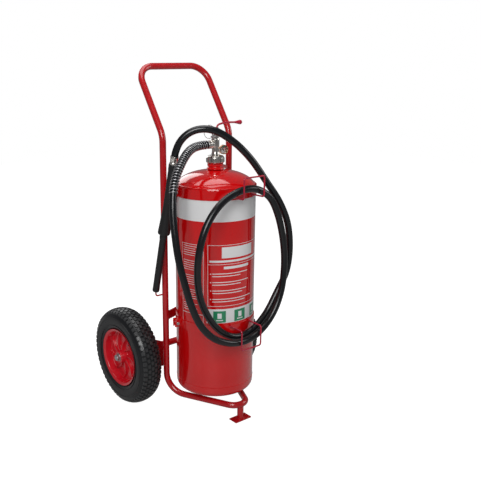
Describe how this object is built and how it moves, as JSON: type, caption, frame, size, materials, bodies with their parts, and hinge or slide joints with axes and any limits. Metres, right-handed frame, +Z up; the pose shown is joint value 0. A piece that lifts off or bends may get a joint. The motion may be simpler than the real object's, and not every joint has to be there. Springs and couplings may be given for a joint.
{
  "type": "wheeled fire extinguisher",
  "caption": "Wheeled dry-powder fire extinguisher: a cylinder clamped to a tubular trolley, with lever valve, gauge, coiled hose on hooks and a stowed discharge gun.",
  "frame": {"origin": "on the floor, under the middle of the object's footprint without its hose", "axes": "+Z up, -Y the front with the foot plate and the hose hooks, +Y the back with the wheels, X along the axle"},
  "size_m": [0.63, 0.6744, 1.358],
  "materials": {
    "frame_paint": "gloss dark red paint on steel tube and plate",
    "shell_paint": "high gloss bright red paint",
    "hook_paint": "crimson coating on bent rod",
    "steel": "zinc plated",
    "nickel": "polished nickel plate",
    "brass": "satin",
    "dial_face": "printed card",
    "lens_glass": "clear",
    "guard_steel": "spring wire",
    "hose_rubber": "smooth black, satin",
    "grip_rubber": "matt black",
    "black_plastic": "fine moulded texture",
    "seal_rubber": "matt black",
    "tyre_rubber": "moulded block tread",
    "rim_plastic": "gloss red moulding"
  },
  "bodies": {
    "trolley": {"handle_bow": "frame_paint", "rail_left": "frame_paint", "rail_right": "frame_paint", "base_bow": "frame_paint", "foot_post": "frame_paint", "foot_plate": "frame_paint", "axle_bracket_left": "frame_paint", "axle_bracket_right": "frame_paint", "axle_tube": "frame_paint", "axle": "steel", "axle_washer_left": "steel", "axle_nut_left": "steel", "axle_spacer_left": "steel", "axle_washer_right": "steel", "axle_nut_right": "steel", "axle_spacer_right": "steel", "saddle_lower": "frame_paint", "saddle_upper": "frame_paint", "clamp_band_lower": "shell_paint", "clamp_band_upper": "shell_paint", "clamp_bolt_lower": "steel", "clamp_bolt_upper": "steel", "hose_hook_upper": "hook_paint", "hose_hook_lower": "hook_paint", "neck_stay": "frame_paint", "nozzle_peg": "frame_paint", "cylinder_shell": "shell_paint", "neck_ring": "shell_paint", "neck_seal": "seal_rubber", "neck_nut": "nickel", "dip_tube": "steel", "valve_body": "nickel", "lever_pivot_pin": "steel", "gauge_case": "brass", "gauge_dial": "dial_face", "gauge_lens": "lens_glass", "outlet_coupling": "nickel", "hose_guard": "guard_steel", "discharge_hose": "hose_rubber", "hose_ferrule": "nickel", "gun_collar": "black_plastic", "gun_grip": "grip_rubber", "gun_body": "black_plastic", "trigger_pin": "steel", "gun_nozzle": "black_plastic"},
    "wheel_left": {"tyre_left": "tyre_rubber", "rim_left": "rim_plastic", "tyre_valve_left": "black_plastic", "hub_bearing_left": "steel"},
    "wheel_right": {"tyre_right": "tyre_rubber", "rim_right": "rim_plastic", "tyre_valve_right": "black_plastic", "hub_bearing_right": "steel"},
    "valve_lever": {"valve_lever": "hook_paint", "lever_knob": "hook_paint"},
    "valve_stem": {"valve_stem": "steel"},
    "safety_pin": {"safety_pin": "steel", "pull_ring": "steel"},
    "gauge_needle": {"gauge_needle": "black_plastic"},
    "gun_trigger": {"gun_trigger": "black_plastic"}
  },
  "joints": [
    {"name": "wheel_left_spin", "type": "hinge", "parent": "trolley", "child": "wheel_left", "pos_m": [-0.257, 0.13725, 0.2], "axis": [1, 0, 0], "continuous": true},
    {"name": "wheel_right_spin", "type": "hinge", "parent": "trolley", "child": "wheel_right", "pos_m": [0.257, 0.13725, 0.2], "axis": [1, 0, 0], "continuous": true},
    {"name": "valve_lever_lift", "type": "hinge", "parent": "trolley", "child": "valve_lever", "pos_m": [0, -0.11675, 1.12], "axis": [0, -1, 0], "range_deg": [0, 100]},
    {"name": "valve_stem_travel", "type": "slide", "parent": "trolley", "child": "valve_stem", "axis": [0, 0, -1], "range_m": [0, 0.004]},
    {"name": "safety_pin_pull", "type": "slide", "parent": "trolley", "child": "safety_pin", "axis": [-1, 0, 0], "range_m": [0, 0.045]},
    {"name": "gauge_needle_turn", "type": "hinge", "parent": "trolley", "child": "gauge_needle", "pos_m": [0.034, -0.12275, 1.045], "axis": [-0.2, -0.9798, 0], "range_deg": [-60, 60], "stiffness_Nm_per_rad": 0.0005},
    {"name": "gun_trigger_squeeze", "type": "hinge", "parent": "trolley", "child": "gun_trigger", "pos_m": [-0.18696, -0.10203, 0.83984], "axis": [0.5888, 0.7851, 0.1922], "range_deg": [0, 7], "stiffness_Nm_per_rad": 2}
  ],
  "couplings": [
    {"joint": "valve_stem_travel", "follows": "valve_lever_lift", "m_per_rad": 0.00229}
  ]
}
